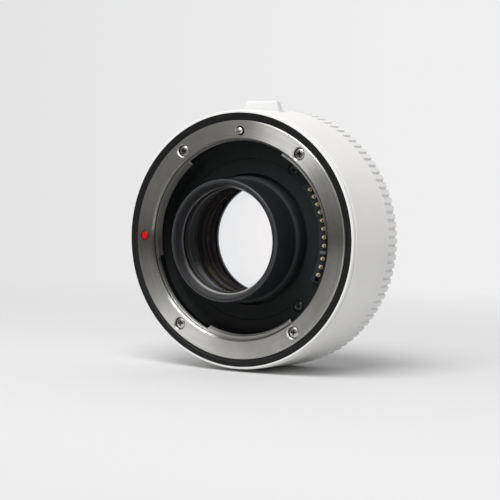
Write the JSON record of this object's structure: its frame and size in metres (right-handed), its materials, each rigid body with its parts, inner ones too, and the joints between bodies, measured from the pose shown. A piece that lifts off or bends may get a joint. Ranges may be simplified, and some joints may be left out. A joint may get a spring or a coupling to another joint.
{
  "type": "camera teleconverter",
  "caption": "Short ribbed white camera teleconverter with steel bayonet rings on both faces, a central lens tube, sprung contact pins and a sliding release lever.",
  "frame": {"origin": "centre of the camera-side flange plane, on the optical axis", "axes": "+Y along the optical axis towards the camera, +Z towards the release lever and the lock pin, +X towards the electrical contacts; the lens side faces -Y"},
  "size_m": [0.072, 0.0393, 0.0741],
  "materials": {
    "mount_steel": "turned and brushed stainless steel",
    "screw_steel": "bright steel",
    "spring_steel": "spring steel strip and wire",
    "red_enamel": "glossy red enamel",
    "black_plastic": "fine matte black moulding",
    "white_paint": "off-white satin enamel",
    "chassis_alloy": "dark anodised alloy",
    "black_screw": "blackened steel",
    "black_alloy": "black anodised, turned alloy",
    "coated_glass": "coated optical glass",
    "circuit_green": "circuit board laminate",
    "amber_film": "amber flexible film",
    "gold_plate": "gold plated",
    "seal_rubber": "soft black rubber"
  },
  "bodies": {
    "converter_body": {"lens_mount_ring": "mount_steel", "camera_mount_ring": "mount_steel", "lens_mount_screws": "screw_steel", "camera_mount_screws": "screw_steel", "web_screws": "screw_steel", "lens_index_dot": "red_enamel", "camera_index_dot": "red_enamel", "mount_shim": "spring_steel", "bayonet_springs": "spring_steel", "lock_spring": "spring_steel", "lens_trim_ring": "black_plastic", "cavity_baffle": "black_plastic", "front_contact_block": "black_plastic", "camera_contact_block": "black_plastic", "camera_baffle": "black_plastic", "front_rim_ring": "white_paint", "main_barrel": "white_paint", "chassis": "chassis_alloy", "front_contact_screws": "black_screw", "camera_contact_screws": "black_screw", "optical_tube": "black_alloy", "front_bevel_ring": "black_alloy", "front_retaining_ring": "black_alloy", "rear_retaining_ring": "black_alloy", "lens_spacer_front": "black_alloy", "lens_spacer_rear": "black_alloy", "front_lens_group": "coated_glass", "middle_lens_group": "coated_glass", "rear_lens_group": "coated_glass", "circuit_board": "circuit_green", "front_flex_cable": "amber_film", "rear_flex_cable": "amber_film", "camera_contact_pads": "gold_plate", "weather_seal": "seal_rubber", "contact_spring_01": "spring_steel", "contact_spring_02": "spring_steel", "contact_spring_03": "spring_steel", "contact_spring_04": "spring_steel", "contact_spring_05": "spring_steel", "contact_spring_06": "spring_steel", "contact_spring_07": "spring_steel", "contact_spring_08": "spring_steel", "contact_spring_09": "spring_steel", "contact_spring_10": "spring_steel", "contact_spring_11": "spring_steel"},
    "release_lever": {"release_lever": "white_paint", "lever_carriage": "spring_steel"},
    "lock_pin": {"lock_pin": "screw_steel"},
    "contact_01": {"contact_pin_01": "gold_plate"},
    "contact_02": {"contact_pin_02": "gold_plate"},
    "contact_03": {"contact_pin_03": "gold_plate"},
    "contact_04": {"contact_pin_04": "gold_plate"},
    "contact_05": {"contact_pin_05": "gold_plate"},
    "contact_06": {"contact_pin_06": "gold_plate"},
    "contact_07": {"contact_pin_07": "gold_plate"},
    "contact_08": {"contact_pin_08": "gold_plate"},
    "contact_09": {"contact_pin_09": "gold_plate"},
    "contact_10": {"contact_pin_10": "gold_plate"},
    "contact_11": {"contact_pin_11": "gold_plate"}
  },
  "joints": [
    {"name": "lever_slide", "type": "slide", "parent": "converter_body", "child": "release_lever", "axis": [0, 1, 0], "range_m": [0, 0.0018], "stiffness_N_per_m": 400, "springref_m": -0.002},
    {"name": "lock_pin_slide", "type": "slide", "parent": "converter_body", "child": "lock_pin", "axis": [0, 1, 0], "range_m": [0, 0.0018], "deforming": ["lock_spring"]},
    {"name": "contact_01_press", "type": "slide", "parent": "converter_body", "child": "contact_01", "axis": [0, 1, 0], "range_m": [0, 0.0008], "stiffness_N_per_m": 300, "springref_m": -0.0008, "deforming": ["contact_spring_01"]},
    {"name": "contact_02_press", "type": "slide", "parent": "converter_body", "child": "contact_02", "axis": [0, 1, 0], "range_m": [0, 0.0008], "stiffness_N_per_m": 300, "springref_m": -0.0008, "deforming": ["contact_spring_02"]},
    {"name": "contact_03_press", "type": "slide", "parent": "converter_body", "child": "contact_03", "axis": [0, 1, 0], "range_m": [0, 0.0008], "stiffness_N_per_m": 300, "springref_m": -0.0008, "deforming": ["contact_spring_03"]},
    {"name": "contact_04_press", "type": "slide", "parent": "converter_body", "child": "contact_04", "axis": [0, 1, 0], "range_m": [0, 0.0008], "stiffness_N_per_m": 300, "springref_m": -0.0008, "deforming": ["contact_spring_04"]},
    {"name": "contact_05_press", "type": "slide", "parent": "converter_body", "child": "contact_05", "axis": [0, 1, 0], "range_m": [0, 0.0008], "stiffness_N_per_m": 300, "springref_m": -0.0008, "deforming": ["contact_spring_05"]},
    {"name": "contact_06_press", "type": "slide", "parent": "converter_body", "child": "contact_06", "axis": [0, 1, 0], "range_m": [0, 0.0008], "stiffness_N_per_m": 300, "springref_m": -0.0008, "deforming": ["contact_spring_06"]},
    {"name": "contact_07_press", "type": "slide", "parent": "converter_body", "child": "contact_07", "axis": [0, 1, 0], "range_m": [0, 0.0008], "stiffness_N_per_m": 300, "springref_m": -0.0008, "deforming": ["contact_spring_07"]},
    {"name": "contact_08_press", "type": "slide", "parent": "converter_body", "child": "contact_08", "axis": [0, 1, 0], "range_m": [0, 0.0008], "stiffness_N_per_m": 300, "springref_m": -0.0008, "deforming": ["contact_spring_08"]},
    {"name": "contact_09_press", "type": "slide", "parent": "converter_body", "child": "contact_09", "axis": [0, 1, 0], "range_m": [0, 0.0008], "stiffness_N_per_m": 300, "springref_m": -0.0008, "deforming": ["contact_spring_09"]},
    {"name": "contact_10_press", "type": "slide", "parent": "converter_body", "child": "contact_10", "axis": [0, 1, 0], "range_m": [0, 0.0008], "stiffness_N_per_m": 300, "springref_m": -0.0008, "deforming": ["contact_spring_10"]},
    {"name": "contact_11_press", "type": "slide", "parent": "converter_body", "child": "contact_11", "axis": [0, 1, 0], "range_m": [0, 0.0008], "stiffness_N_per_m": 300, "springref_m": -0.0008, "deforming": ["contact_spring_11"]}
  ],
  "couplings": [
    {"joint": "lock_pin_slide", "follows": "lever_slide", "ratio": 1}
  ]
}
